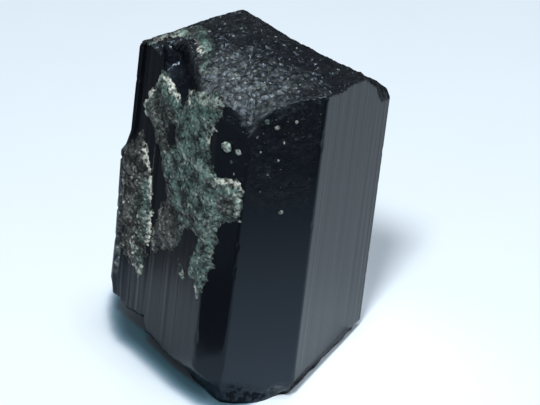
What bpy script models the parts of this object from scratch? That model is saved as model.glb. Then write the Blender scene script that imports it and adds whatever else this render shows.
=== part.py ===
"""Tourmaline crystal: a short black prism on its broken base, with patches of grey-green crust.

The prism leans a little towards +X, with its widest faces to the left and right of -Y. Its plan
is a hexagon with long and short sides in turn, its top is a low pitted dome that falls away to
the right, and below the ends of its faces the stone is broken back to a flat that it rests on,
furthest back on the left, apart from a low foot at the front. The crust is another mineral, a
thin flaky skin that grew on two faces and along one top edge. Points are worked out along the
prism's own axis, then leaned over.
"""
import bisect
import math

import bmesh
import bpy
import numpy as np

MM = 0.001

# Plan of the prism in mm: its six corners, anticlockwise seen from above.
CORNERS = {
    "left": (-18.8, 6.8),
    "front_left": (-6.2, -13.15),
    "front": (-1.8, -15.5),
    "front_right": (8.7, -15.1),
    "right": (19.35, 4.8),
    "back": (-3.2, 15.8),
}
PLAN = np.array(list(CORNERS.values()))
SIDES = np.roll(PLAN, -1, axis=0) - PLAN
SIDE_LENGTHS = np.linalg.norm(SIDES, axis=1)
SIDE_STARTS = np.concatenate([[0.0], np.cumsum(SIDE_LENGTHS)])
TANGENTS = SIDES / SIDE_LENGTHS[:, None]
NORMALS = np.stack([TANGENTS[:, 1], -TANGENTS[:, 0]], axis=1)

# The prism's axis leans this far towards +X, and its own height 0 is this far above the ground.
LEAN = math.radians(5.7)
AXIS_START = 1.0

# Heights in mm of the top edge along each side, as (distance from its first corner, height).
TOP_EDGE = [
    [(0.0, 45.8), (2.9, 46.8), (12.0, 47.0), (18.0, 47.2), (21.0, 48.0)],
    [(0.0, 48.4), (1.5, 48.1), (2.8, 47.7), (4.0, 47.0)],
    [(0.0, 46.3), (0.8, 47.8), (2.4, 48.9), (4.4, 50.1), (6.5, 51.1)],
    [(0.0, 52.2), (4.6, 50.8), (8.4, 50.4), (12.3, 49.1), (16.7, 45.8), (17.9, 43.7), (19.6, 42.1)],
    [(0.0, 41.3), (7.0, 42.9), (12.5, 44.5), (18.0, 46.0)],
    [(0.0, 47.8), (4.5, 47.5), (10.6, 46.5), (15.3, 45.9)],
]
# The dome that the edge's dips and chips are broken out of, in the same form.
DOME_EDGE = [
    [(0.0, 46.3)],
    [(0.0, 48.6)],
    [(0.0, 49.2)],
    [(0.0, 52.2), (12.3, 49.0)],
    [(0.0, 41.3)],
    [(0.0, 47.8)],
]
# Where the faces end at the bottom, in the same form.
RIM = [
    [(0.0, 2.3), (3.2, 1.1), (6.9, 1.8), (9.1, 2.8), (10.0, 0.9), (16.8, 0.7), (22.1, 1.9)],
    [(0.0, 2.2), (2.4, 1.4)],
    [(0.0, 1.9), (5.0, 1.5), (6.1, 1.0), (7.9, 1.9)],
    [(0.0, 2.8), (3.9, 3.6), (8.7, 2.5), (17.1, 2.0)],
    [(0.0, 2.2), (6.0, 2.8), (12.0, 1.9), (18.0, 2.6)],
    [(0.0, 2.2), (6.0, 2.9), (12.0, 1.8)],
]

# The scooped chip along the top of the left face: its place along the face, and its depth.
SCOOP_CENTRE, SCOOP_HALF_LENGTH, SCOOP_DEPTH = 12.6, 5.8, 4.0

CENTRE_HEIGHT = 50.3
DOME_POWER = 1.5
EDGE_POWER = 6.0
DOME_RINGS = (0.8, 0.55, 0.28)
COLUMN_SPACING = 2.6
WALL_LEVELS = (0.0, 0.14, 0.3, 0.45, 0.6, 0.66, 0.83, 1.0)

# How far in from the plan the resting flat's edge is, by (distance along the side, inset). It is
# less than 0 at the foot, which stands out from the front.
BASE_INSET = [
    [(0.0, 3.6), (11.0, 3.4), (21.0, 2.6)],
    [(0.0, 2.0), (3.0, 0.9)],
    [(0.0, -0.3), (2.2, -0.8), (5.3, -0.6), (6.5, -0.1), (7.7, 0.5)],
    [(0.0, 1.2), (12.0, 1.2)],
    [(0.0, 1.2), (14.0, 1.6)],
    [(0.0, 2.2), (9.0, 3.2)],
]
# The broken band's middle row: its share of the way up and its share of the inset.
BAND_LEVEL, BAND_INSET = 0.4, 0.55

# How far the left corner stands in from the plan, as (height, inset): it bulges out up to a step,
# and is set back above it. The inset fades to nothing at this distance along both sides.
LEFT_INSET = [(2.3, -0.5), (12.0, -0.5), (27.1, -1.05), (28.3, -0.6), (31.2, 0.45), (46.0, 0.7)]
LEFT_REACH = 3.5

# Crust outlines on the left face, as (distance from the left corner, height). Past the length of
# that face they run on around the corner. The crust has no hole right through it here.
MAIN_CRUST = [
    (9.1, 17.4), (10.0, 15.6), (13.1, 17.5), (15.6, 18.2), (16.7, 20.6), (17.4, 23.6),
    (19.6, 24.6), (22.0, 23.8), (21.4, 20.0), (21.9, 18.0), (21.5, 15.8), (22.4, 14.4),
    (23.5, 15.8), (24.4, 18.6), (24.9, 21.0), (25.2, 24.4), (25.2, 27.4), (26.3, 29.5),
    (28.3, 30.4), (28.5, 32.8), (28.6, 35.4), (28.1, 37.2), (26.1, 36.5), (24.1, 36.2),
    (22.6, 37.6), (21.9, 41.5), (23.0, 44.2), (24.0, 46.8), (24.2, 48.6), (22.6, 49.0),
    (20.4, 48.0), (18.6, 46.8), (17.2, 46.2), (16.0, 46.8), (15.0, 44.6), (13.8, 42.6),
    (12.6, 43.6), (11.2, 44.4), (9.6, 44.7), (7.9, 44.9), (7.2, 43.0), (6.3, 40.6), (4.6, 38.8),
    (3.8, 37.2), (4.6, 36.0), (7.0, 34.6), (8.9, 32.5), (10.2, 30.2), (11.8, 28.2),
    (12.2, 25.9), (10.4, 22.8),
]
LEFT_CRUST = [
    (5.0, 9.3), (6.0, 8.4), (7.0, 9.4), (7.4, 12.2), (8.3, 14.8), (8.1, 17.0), (8.3, 19.8),
    (7.5, 22.7), (7.6, 25.4), (6.8, 27.6), (5.9, 28.9), (5.0, 30.6), (3.8, 32.0), (2.8, 31.2),
    (0.9, 29.2), (0.2, 27.4), (0.2, 24.0), (0.6, 20.0), (1.1, 15.2), (1.7, 11.0), (2.8, 9.3),
]
SMALL_CRUST = [(17.2, 16.0), (18.4, 15.4), (19.0, 16.6), (18.2, 17.6), (17.3, 17.2)]
# The edge crust lies on the dome, so its outline is in the plan.
EDGE_CRUST = [
    (-9.2, 11.1), (-13.0, 9.2), (-16.0, 7.4), (-17.3, 6.2), (-16.5, 4.3), (-14.4, 4.8),
    (-12.6, 5.6), (-11.0, 4.2), (-10.2, 0.8), (-9.6, -2.4), (-8.8, -3.6), (-8.0, -2.6),
    (-7.8, 0.0), (-7.6, 4.0), (-8.2, 7.8),
]

CRUST_GAP = 0.3
CRUST_EDGE, CRUST_MIDDLE = 0.6, 1.4
CRUST_CELL = 2.0
CRUST_TAPER = 1.3

# Grains of the same mineral on the narrow front-left face: (distance, height, radius).
GRAINS = {"upper_grain": (25.5, 41.9, 0.7), "lower_grain": (27.3, 41.7, 0.5)}
GRAIN_RINGS, GRAIN_SEGMENTS = 6, 10

# Points nearer to the ground than this, in metres, are set on it exactly.
FLATNESS = 1e-6


def material(name, colour, roughness):
    """A plain Principled material: the piece's colour and roughness, and no metal."""
    made = bpy.data.materials.new(name)
    made.use_nodes = True
    shader = made.node_tree.nodes["Principled BSDF"]
    shader.inputs["Base Color"].default_value = (*colour, 1.0)
    shader.inputs["Roughness"].default_value = roughness
    shader.inputs["Metallic"].default_value = 0.0
    return made


def side_table(table, distance):
    """A table of numbers along the sides, read by distance all the way around the plan."""
    places = [SIDE_STARTS[i] + d for i, side in enumerate(table) for d, _ in side]
    heights = [h for side in table for _, h in side]
    return np.interp(distance, places + [SIDE_STARTS[-1]], heights + [heights[0]])


def plan_point(distance, outwards=0.0):
    """A point on the plan at a distance around it, moved outwards. Corners are mitred."""
    side = min(bisect.bisect_right(list(SIDE_STARTS), distance + 1e-6) - 1, len(PLAN) - 1)
    along = distance - SIDE_STARTS[side]
    normal = NORMALS[side]
    if abs(along) < 1e-4:
        before = NORMALS[side - 1]
        normal = (before + normal) / (1.0 + before @ normal)
    return PLAN[side] + TANGENTS[side] * along + normal * outwards


def columns():
    """Distances around the plan at which the prism's columns of points stand."""
    places = []
    for start, length in zip(SIDE_STARTS, SIDE_LENGTHS):
        count = max(2, round(length / COLUMN_SPACING))
        places.extend(start + length * k / count for k in range(count))
    return places


def scoop(distance):
    """Depth of the scooped chip at the top edge."""
    across = (distance - SCOOP_CENTRE) / SCOOP_HALF_LENGTH
    return SCOOP_DEPTH * max(0.0, 1.0 - across * across)


def dome_height(distance, share):
    """Height of the top, a share of the way out from the middle to the edge."""
    dome = side_table(DOME_EDGE, distance)
    broken = side_table(TOP_EDGE, distance) - dome
    return CENTRE_HEIGHT + (dome - CENTRE_HEIGHT) * share ** DOME_POWER + broken * share ** EDGE_POWER


def left_inset(distance, height):
    """How far in the left corner stands at a height."""
    around = min(distance, SIDE_STARTS[-1] - distance)
    near = max(0.0, 1.0 - around / LEFT_REACH)
    return near * float(np.interp(height, *zip(*LEFT_INSET)))


def leaned(point):
    """A point of the upright prism, leaned over and lifted to stand on the ground."""
    x, y, z = point
    across = x * math.cos(LEAN) + z * math.sin(LEAN)
    up = z * math.cos(LEAN) - x * math.sin(LEAN) + AXIS_START
    return (across, y, up)


def ground_height(x):
    """Height along the upright prism of the ground's plane at a place across it."""
    return (x * math.sin(LEAN) - AXIS_START) / math.cos(LEAN)


def column_points(distance):
    """One column of the upright prism, from the resting flat up to the innermost dome ring."""
    rim = side_table(RIM, distance)
    top = side_table(TOP_EDGE, distance) - scoop(distance)
    inset = side_table(BASE_INSET, distance)
    flat = plan_point(distance, -inset)
    ground = ground_height(flat[0])
    points = [(*flat, ground)]
    middle = ground + (rim - ground) * BAND_LEVEL
    points.append((*plan_point(distance, -inset * BAND_INSET), middle))
    for level in WALL_LEVELS:
        height = rim + (top - rim) * level
        points.append((*plan_point(distance, -left_inset(distance, height)), height))
    for share in DOME_RINGS:
        flat = plan_point(distance) * share
        points.append((*flat, dome_height(distance, share)))
    return points


def mesh_object(name, mesh_bm, finish, smooth=False):
    """Lean an upright bmesh in mm over, and turn it into an object in metres."""
    for vert in mesh_bm.verts:
        vert.co = leaned(vert.co)
    bmesh.ops.recalc_face_normals(mesh_bm, faces=mesh_bm.faces)
    bmesh.ops.scale(mesh_bm, vec=(MM, MM, MM), verts=mesh_bm.verts)
    mesh = bpy.data.meshes.new(name)
    mesh_bm.to_mesh(mesh)
    mesh_bm.free()
    if smooth:
        mesh.shade_smooth()
    mesh.materials.append(finish)
    made = bpy.data.objects.new(name, mesh)
    bpy.context.collection.objects.link(made)
    return made


def crystal(finish):
    """The prism: columns of points joined into walls, with a fan at the flat and at the dome."""
    bm = bmesh.new()
    grid = [[bm.verts.new(p) for p in column_points(d)] for d in columns()]
    bottom = bm.verts.new((0.0, 0.0, ground_height(0.0)))
    top = bm.verts.new((0.0, 0.0, CENTRE_HEIGHT))
    for here, after in zip(grid, grid[1:] + grid[:1]):
        bm.faces.new((bottom, after[0], here[0]))
        bm.faces.new((top, here[-1], after[-1]))
        for k in range(len(here) - 1):
            bm.faces.new((here[k], after[k], after[k + 1], here[k + 1]))
    return mesh_object("tourmaline_crystal", bm, finish)


def edge_distance(point, outline):
    """Distance from a point to the nearest side of an outline."""
    best = math.inf
    for start, end in zip(outline, outline[1:] + outline[:1]):
        ax, ay = start
        dx, dy = end[0] - ax, end[1] - ay
        along = ((point[0] - ax) * dx + (point[1] - ay) * dy) / (dx * dx + dy * dy)
        along = min(1.0, max(0.0, along))
        best = min(best, math.hypot(point[0] - ax - dx * along, point[1] - ay - dy * along))
    return best


def cut_sheet(outline, folds):
    """A flat outline cut into cells, and cut along the lines where it folds round a corner."""
    bm = bmesh.new()
    bm.faces.new([bm.verts.new((a, b, 0.0)) for a, b in outline])
    for axis in (0, 1):
        low = min(p[axis] for p in outline)
        high = max(p[axis] for p in outline)
        cuts = list(np.arange(low + CRUST_CELL, high - CRUST_CELL / 2, CRUST_CELL))
        if axis == 0:
            cuts = [c for c in cuts if all(abs(c - f) > CRUST_CELL / 3 for f in folds)] + folds
        for cut in cuts:
            place = [0.0, 0.0, 0.0]
            place[axis] = cut
            direction = [0.0, 0.0, 0.0]
            direction[axis] = 1.0
            geometry = bm.verts[:] + bm.edges[:] + bm.faces[:]
            bmesh.ops.bisect_plane(bm, geom=geometry, plane_co=place, plane_no=direction, dist=1e-5)
    bmesh.ops.triangulate(bm, faces=bm.faces)
    return bm


def crust(name, outline, folds, place, finish):
    """A crust skin: a cut sheet, a gap off the stone, thicker in its middle than at its edge."""
    bm = cut_sheet(outline, folds)
    outer = list(bm.verts)
    under = bmesh.ops.duplicate(bm, geom=bm.verts[:] + bm.edges[:] + bm.faces[:])
    inner_of = under["vert_map"]
    rim_edges = [e for e in bm.edges if len(e.link_faces) == 1 and e.verts[0] in set(outer)]
    for edge in rim_edges:
        a, b = edge.verts
        bm.faces.new((a, b, inner_of[b], inner_of[a]))
    for vert in outer:
        flat = (vert.co.x, vert.co.y)
        share = min(1.0, edge_distance(flat, outline) / CRUST_TAPER)
        thickness = CRUST_EDGE + (CRUST_MIDDLE - CRUST_EDGE) * share
        inner_of[vert].co = place(*flat, CRUST_GAP)
        vert.co = place(*flat, CRUST_GAP + thickness)
    return mesh_object(name, bm, finish)


def on_wall(distance, height, outwards):
    """A point off the prism's wall."""
    return (*plan_point(distance, outwards - left_inset(distance, height)), height)


def on_dome(x, y, upwards):
    """A point above the dome. Its share of the way out is its largest share of any side's reach."""
    shares = NORMALS @ (x, y) / (NORMALS * PLAN).sum(axis=1)
    side = int(np.argmax(shares))
    share = float(shares[side])
    edge = np.array((x, y)) / share
    around = SIDE_STARTS[side] + float((edge - PLAN[side]) @ TANGENTS[side])
    return (x, y, dome_height(around, share) + upwards)


def grain(name, distance, height, radius, finish):
    """A rounded grain just off the wall."""
    bm = bmesh.new()
    bmesh.ops.create_uvsphere(
        bm, u_segments=GRAIN_SEGMENTS, v_segments=GRAIN_RINGS, radius=radius)
    centre = on_wall(distance, height, CRUST_GAP + radius)
    bmesh.ops.translate(bm, vec=centre, verts=bm.verts)
    return mesh_object(name, bm, finish, smooth=True)


def centre_on_origin(pieces):
    """Move every mesh so that the object's box stands centred on the origin, on the ground."""
    points = np.array([v.co for piece in pieces for v in piece.data.vertices])
    middle = (points.min(axis=0) + points.max(axis=0)) / 2
    for piece in pieces:
        for vert in piece.data.vertices:
            vert.co.x -= middle[0]
            vert.co.y -= middle[1]
            if abs(vert.co.z) < FLATNESS:
                vert.co.z = 0.0


def main():
    for old in list(bpy.data.objects):
        bpy.data.objects.remove(old)
    black = material("black_tourmaline", (0.012, 0.014, 0.018), 0.25)
    green = material("green_crust", (0.055, 0.075, 0.075), 0.7)
    corner = [float(SIDE_STARTS[1])]
    pieces = [
        crystal(black),
        crust("main_crust", MAIN_CRUST, corner, on_wall, green),
        crust("left_crust", LEFT_CRUST, [], on_wall, green),
        crust("small_crust", SMALL_CRUST, [], on_wall, green),
        crust("edge_crust", EDGE_CRUST, [], on_dome, green),
    ]
    pieces += [grain(name, *numbers, green) for name, numbers in GRAINS.items()]
    centre_on_origin(pieces)


main()
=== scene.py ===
"""Looks of a tourmaline crystal: a short black prism with patches of grey-green mica crust.

Sizes here are in mm unless a name or a property says otherwise. The prism is worked out upright,
then leaned over to stand in the frame. A place on its walls is given by its distance around the
plan, from the left corner anticlockwise, and its height up the prism. A place on its top is given
by its x and y in the plan.
"""
import math

import bpy
import numpy as np
from bpy.props import FloatProperty, PointerProperty, StringProperty
from bpy.types import Operator, Panel, PropertyGroup
from mathutils import Matrix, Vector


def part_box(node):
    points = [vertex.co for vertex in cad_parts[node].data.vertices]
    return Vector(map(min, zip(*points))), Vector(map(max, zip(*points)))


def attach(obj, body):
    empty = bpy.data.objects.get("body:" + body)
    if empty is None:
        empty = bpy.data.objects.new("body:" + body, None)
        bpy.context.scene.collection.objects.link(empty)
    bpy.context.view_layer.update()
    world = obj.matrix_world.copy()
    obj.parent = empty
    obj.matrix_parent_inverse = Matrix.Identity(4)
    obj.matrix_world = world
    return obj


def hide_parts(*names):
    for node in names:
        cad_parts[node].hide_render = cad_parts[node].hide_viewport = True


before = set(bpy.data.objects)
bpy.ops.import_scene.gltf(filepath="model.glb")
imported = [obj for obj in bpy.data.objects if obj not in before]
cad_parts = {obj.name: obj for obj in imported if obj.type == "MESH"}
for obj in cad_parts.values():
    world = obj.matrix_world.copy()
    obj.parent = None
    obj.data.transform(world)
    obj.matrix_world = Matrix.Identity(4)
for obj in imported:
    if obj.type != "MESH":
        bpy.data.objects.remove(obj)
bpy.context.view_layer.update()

bl_info = {
    "name": "Tourmaline crystal",
    "version": (1, 0, 0),
    "blender": (4, 5, 0),
    "location": "3D View > Sidebar > Mineral",
    "description": "Models a black tourmaline prism with mica crust, and its studio stage",
    "category": "Object",
}

MM = 0.001
MICROMETRE = 0.000001

# ---------------------------------------------------------------- plan of the prism

PLAN = np.array([
    (-18.8, 6.8),     # left corner
    (-6.2, -13.15),   # front left
    (-1.8, -15.5),    # front
    (8.7, -15.1),     # front right
    (19.35, 4.8),     # right
    (-3.2, 15.8),     # back
])
SIDES = np.roll(PLAN, -1, axis=0) - PLAN
SIDE_LENGTHS = np.linalg.norm(SIDES, axis=1)
STARTS = np.concatenate([[0.0], np.cumsum(SIDE_LENGTHS)])
AROUND = STARTS[-1]
TANGENTS = SIDES / SIDE_LENGTHS[:, None]
NORMALS = np.stack([TANGENTS[:, 1], -TANGENTS[:, 0]], axis=1)
REACHES = (NORMALS * PLAN).sum(axis=1)
LEFT, FRONT_LEFT, FRONT, RIGHT, BACK_RIGHT, BACK_LEFT = range(6)

# The prism leans this far towards +X, and its own height 0 is this far above the ground.
LEAN = math.radians(5.7)
AXIS_START = 1.0

# Heights along each side, as (distance from the side's first corner, height): the top edge, the
# dome it is broken out of, and the rim where the walls end above the broken base.
TOP_EDGE = [
    [(0.0, 45.8), (2.9, 46.8), (12.0, 47.0), (18.0, 47.2), (21.0, 48.0)],
    [(0.0, 48.4), (1.5, 48.1), (2.8, 47.7), (4.0, 47.0)],
    [(0.0, 46.3), (0.8, 47.8), (2.4, 48.9), (4.4, 50.1), (6.5, 51.1)],
    [(0.0, 52.2), (4.6, 50.8), (8.4, 50.4), (12.3, 49.1), (16.7, 45.8), (17.9, 43.7), (19.6, 42.1)],
    [(0.0, 41.3), (0.9, 42.6), (7.0, 42.9), (12.5, 44.5), (18.0, 46.0)],
    [(0.0, 47.8), (4.5, 47.5), (10.6, 46.5), (15.3, 45.9)],
]
DOME_EDGE = [
    [(0.0, 46.3)],
    [(0.0, 48.6)],
    [(0.0, 49.2)],
    [(0.0, 52.2), (12.3, 49.0), (18.6, 44.4)],
    [(0.0, 42.8)],
    [(0.0, 47.8)],
]
RIM = [
    [(0.0, 2.3), (3.2, 1.1), (6.9, 1.8), (9.1, 2.8), (10.0, 0.9), (16.8, 0.7), (22.1, 1.9)],
    [(0.0, 2.2), (2.4, 1.4)],
    [(0.0, 1.9), (5.0, 1.5), (6.1, 1.0), (7.9, 1.9)],
    [(0.0, 3.0), (3.9, 2.8), (8.7, 2.6), (17.1, 2.2)],
    [(0.0, 2.2), (6.0, 2.8), (12.0, 1.9), (18.0, 2.6)],
    [(0.0, 2.2), (6.0, 2.9), (12.0, 1.8)],
]
# How far out the edge of the resting flat is, as a share of the plan, in the same form.
BASE_SHARE = [
    [(0.0, 0.56), (9.5, 0.56), (11.5, 0.72), (21.0, 0.8)],
    [(0.0, 0.84), (3.0, 0.93)],
    [(0.0, 1.02), (2.2, 1.055), (4.0, 1.055), (5.3, 1.04), (6.5, 1.01), (7.7, 0.97), (9.8, 0.92)],
    [(0.0, 0.918), (3.0, 0.938), (12.0, 0.951), (20.0, 0.944)],
    [(0.0, 0.938), (14.0, 0.87)],
    [(0.0, 0.84), (9.0, 0.74)],
]
# The dome's height in the middle, and the powers of the share of the way out by which it falls
# to its edge and by which the edge's dips grow. The chip at the right corner fades much faster,
# by a power added within a reach of it.
CENTRE_HEIGHT, DOME_POWER, EDGE_POWER = 50.3, 1.5, 6.0
CHIP_POWER, CHIP_REACH, CHIP_BLEND = 12.0, 5.0, 2.5

# How far the left corner stands in from the plan, as (height, inset), up to a step and above it.
LEFT_INSET = [(2.3, -0.5), (4.5, -0.9), (12.0, -0.85), (27.1, -1.05), (28.3, -0.6),
              (31.2, 0.45), (46.0, 0.7)]
LEFT_REACH = 3.5

# Depth of the parallel grooves on each side, how far apart they run, and how strongly the side's
# surface is striated, from 0 to 1.
GROOVE_DEPTH = (0.07, 0.012, 0.018, 0.032, 0.16, 0.12)
GROOVE_PITCH = (0.7, 0.9, 1.3, 0.55, 1.1, 0.9)
STRIATED = np.array([0.95, 0.15, 0.12, 0.75, 0.9, 0.8])
# The left end of the left side is a rougher strip with deep grooves, set back behind the rest.
STRIP_END, STRIP_DEPTH, STRIP_PITCH, STRIP_BACK = 9.3, 0.5, 1.1, 0.4

# How far from each corner its edge is rounded, and how deep the nicks in it are.
CORNER_ROUND = (1.2, 0.35, 0.45, 0.3, 0.6, 0.5)
NICK_DEPTH = 0.16

# The chipped hollow behind the top of the left side: how far in it reaches by the distance along
# that side, which slides towards the left corner as it goes in. Its wall takes up a share of the
# depth within a share of the way to the middle.
HOLLOW_REACH = [(7.1, 2.6), (11.6, 4.9), (15.3, 2.9), (18.2, 1.1), (18.5, 0.3)]
HOLLOW_MIDDLE, HOLLOW_HALF, HOLLOW_DEPTH, HOLLOW_SLIDE = 12.8, 5.7, 4.4, 1.25
HOLLOW_WALL, HOLLOW_WALL_END = 0.7, 0.32

# ---------------------------------------------------------------- mesh grid of the prism

COLUMNS_PER_SIDE = (128, 28, 60, 122, 128, 94)
COLUMNS = sum(COLUMNS_PER_SIDE)
TOP_CELLS = COLUMNS // 4
WALL_ROWS = 112
BAND_ROWS = 7
# How much closer together the columns are at the corners, and the rows at the top.
COLUMN_CROWDING = 0.35
ROW_CROWDING = 0.45


# ================================================================ numbers and noise

def smooth(x):
    """Smoothstep of x, which is cut to 0 and 1."""
    x = np.clip(x, 0.0, 1.0)
    return x * x * (3.0 - 2.0 * x)


def rise(x, low, high):
    """0 at low, 1 at high, with a smooth rise between."""
    return smooth((np.asarray(x, float) - low) / (high - low))


def between(x, start, full, fading, end):
    """0 up to start, 1 from full to fading and 0 from end on, with smooth slopes between."""
    return rise(x, start, full) * (1.0 - rise(x, fading, end))


def lattice(ix, iy, iz, seed):
    """A repeatable number from 0 to 1 for each lattice point: its integers mixed by multiplying."""
    mixed = (ix.astype(np.int64).astype(np.uint32) * np.uint32(374761393)
             + iy.astype(np.int64).astype(np.uint32) * np.uint32(668265263)
             + iz.astype(np.int64).astype(np.uint32) * np.uint32(2246822519)
             + np.uint32(seed * 97531 + 12345))
    mixed = (mixed ^ (mixed >> np.uint32(15))) * np.uint32(2246822519)
    mixed = (mixed ^ (mixed >> np.uint32(13))) * np.uint32(3266489917)
    return ((mixed ^ (mixed >> np.uint32(16))) & np.uint32(0xFFFFFF)) / float(0x1000000)


def noise(x, y, z, seed):
    """Value noise from -1 to 1: lattice numbers blended smoothly along all three axes."""
    x, y, z = np.broadcast_arrays(*(np.asarray(v, float) for v in (x, y, z)))
    cell = [np.floor(v) for v in (x, y, z)]
    weight = [smooth(v - c) for v, c in zip((x, y, z), cell)]
    total = np.zeros(x.shape)
    for corner in range(8):
        step = [(corner >> axis) & 1 for axis in range(3)]
        share = np.ones(x.shape)
        for axis in range(3):
            share = share * (weight[axis] if step[axis] else 1.0 - weight[axis])
        total += share * lattice(cell[0] + step[0], cell[1] + step[1], cell[2] + step[2], seed)
    return total * 2.0 - 1.0


def layered(x, y, z, seed, octaves=4, gain=0.5):
    """Layers of noise, each at twice the frequency and a share of the height of the last."""
    total, height, scale = 0.0, 1.0, 1.0
    for octave in range(octaves):
        total = total + height * noise(x * scale, y * scale, z * scale, seed + octave)
        height *= gain
        scale *= 2.03
    return total


def cells(u, v, seed):
    """Nearest scattered point in a plane: how far off it is, the offset from it, and two
    repeatable numbers from 0 to 1 that belong to it."""
    u, v = np.broadcast_arrays(np.asarray(u, float), np.asarray(v, float))
    cu, cv = np.floor(u), np.floor(v)
    nearest = np.full((5, *u.shape), np.inf)
    for a in (-1, 0, 1):
        for b in (-1, 0, 1):
            drawn = [lattice(cu + a, cv + b, np.zeros(u.shape), seed + i) for i in range(4)]
            du, dv = u - (cu + a + drawn[0]), v - (cv + b + drawn[1])
            found = np.stack([np.hypot(du, dv), du, dv, drawn[2], drawn[3]])
            nearest = np.where(found[0] < nearest[0], found, nearest)
    return nearest


# ================================================================ the prism's shape

def side_table(table, around):
    """A table of numbers along the sides, read by distance all the way around the plan."""
    places = [STARTS[i] + d for i, side in enumerate(table) for d, _ in side]
    heights = [h for side in table for _, h in side]
    return np.interp(around, places + [AROUND], heights + [heights[0]])


def curve(table, x):
    """A table of (place, number) pairs read at x."""
    return np.interp(x, *zip(*table))


def side_of(around):
    """Index of the side that each distance around the plan is on."""
    return np.clip(np.searchsorted(STARTS, np.asarray(around) + 1e-6, side="right") - 1, 0, 5)


def from_corner(around, i):
    """Distance around the plan from a corner, whichever way is shorter."""
    return np.abs((np.asarray(around) - STARTS[i] + AROUND / 2) % AROUND - AROUND / 2)


def plan_point(around, outwards=0.0):
    """Points on the plan, moved outwards along their side's normal. A corner moves along the
    mitre of its two sides."""
    around = np.asarray(around, float) % AROUND
    side = side_of(around)
    along = around - STARTS[side]
    normal = NORMALS[side].copy()
    before = NORMALS[side - 1]
    mitre = (before + normal) / (1.0 + (before * normal).sum(axis=-1, keepdims=True))
    normal = np.where((along < 1e-4)[..., None], mitre, normal)
    flat = PLAN[side] + TANGENTS[side] * along[..., None]
    return flat + normal * np.asarray(outwards)[..., None]


def plan_place(x, y):
    """Distance around the plan and share of the way out of points in it: the share is the
    largest of their shares of the sides' reaches, and the distance is where the line out from
    the middle meets that side."""
    flat = np.stack([x, y], axis=-1)
    shares = flat @ NORMALS.T / REACHES
    side = shares.argmax(axis=-1)
    share = np.maximum(shares.max(axis=-1), 1e-6)
    along = ((flat / share[..., None] - PLAN[side]) * TANGENTS[side]).sum(axis=-1)
    return STARTS[side] + along, share


def corner_fillet(around):
    """Depth of the rounding at the corners: a parabola on each side of the corner, whose slope
    where the two meet is the tangent of half the corner's turn."""
    depth = np.zeros(np.shape(around))
    for i, width in enumerate(CORNER_ROUND):
        turn = math.acos(float(NORMALS[i] @ NORMALS[i - 1]))
        near = np.clip(width - from_corner(around, i), 0.0, None)
        depth = depth + near ** 2 / (2 * width) * math.tan(turn / 2)
    return depth


def left_inset(around, height):
    """How far in the left corner stands at a height, fading out along its two sides."""
    near = np.clip(1.0 - from_corner(around, LEFT) / LEFT_REACH, 0.0, 1.0)
    return near * curve(LEFT_INSET, height)


def grooves(around, height, pitch, seed):
    """Growth grooves from 0 to 1 deep: noise across the face, drawn out along the prism, its
    slopes steepened so that ridges are flat-topped, with a finer set added."""
    wander = 0.25 * noise(around * 0.2, height * 0.05, 0.0, seed)
    wide = noise(around / pitch + wander, height / 45.0, 0.0, seed + 1)
    fine = noise(around / pitch * 2.7 + wander, height / 30.0, 5.0, seed + 2)
    patchy = 0.25 + 0.75 * rise(noise(around * 0.45, height * 0.04, 9.0, seed + 3), -0.4, 0.5)
    return patchy * (0.6 * rise(wide, -0.35, 0.45) + 0.4 * rise(fine, -0.5, 0.5))


def pits(u, v, spacing, seed, share):
    """Round etch pits from 0 to 1 deep, on a share of scattered points."""
    far, _, _, key, size = cells(u / spacing, v / spacing, seed)
    radius = 0.22 + 0.3 * size
    return np.clip(1.0 - far / radius, 0.0, 1.0) ** 0.8 * (key < share)


def front_etching(around, height):
    """How etched the walls are, from 0 to 1: the upper part of the two front sides, with a
    ragged lower limit that is higher on the narrow one."""
    start, corner, end = STARTS[[FRONT_LEFT, FRONT, RIGHT]]
    across = between(around, start - 0.6, start + 0.5, end - 1.0, end - 0.1)
    on_front = rise(around, corner - 0.8, corner + 1.0)
    ragged = 4.5 * layered(around * 0.25, height * 0.2, 3.0, 61, 3)
    return across * (0.35 + 0.65 * on_front) * rise(height + ragged, 31.0, 50.0)


def wall_depth(around, height):
    """How far in each point of the wall stands from the flat side of the plan."""
    side = side_of(around)
    depth = corner_fillet(around) + left_inset(around, height) + nicks(around, height)
    for i in range(6):
        reach = 0.5 - np.abs((around - STARTS[i]) / SIDE_LENGTHS[i] - 0.5)
        cut = GROOVE_DEPTH[i] * rise(reach, 0.0, 0.02)
        cut = cut * grooves(around, height, GROOVE_PITCH[i], 20 + 7 * i)
        depth = depth + np.where(side == i, cut, 0.0)
    strip = between(around, 0.2, 1.2, STRIP_END - 0.25, STRIP_END)
    depth = depth + strip * (STRIP_BACK + STRIP_DEPTH * grooves(around, height, STRIP_PITCH, 90))
    etched = front_etching(around, height)
    depth = depth + etched * (0.06 * pits(around, height, 1.1, 71, 0.4)
                              + 0.04 * pits(around, height, 0.5, 73, 0.4)
                              + 0.015 * (1 + layered(around * 0.9, height * 0.9, 2.0, 75)))
    return depth


def nicks(around, height):
    """Small chips along the prism's corners, deepest at the corner itself."""
    depth = np.zeros(np.shape(around))
    for i in range(6):
        long, short = noise(height * 0.5, i * 3.0, 0.0, 131), noise(height * 1.9, i * 5.0, 0.0, 132)
        chipped = rise(0.7 * long + 0.3 * short, 0.3, 0.8)
        near = np.clip(1.0 - from_corner(around, i) / (0.2 + 0.4 * chipped), 0.0, 1.0)
        depth = depth + NICK_DEPTH * chipped * near
    return depth


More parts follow.
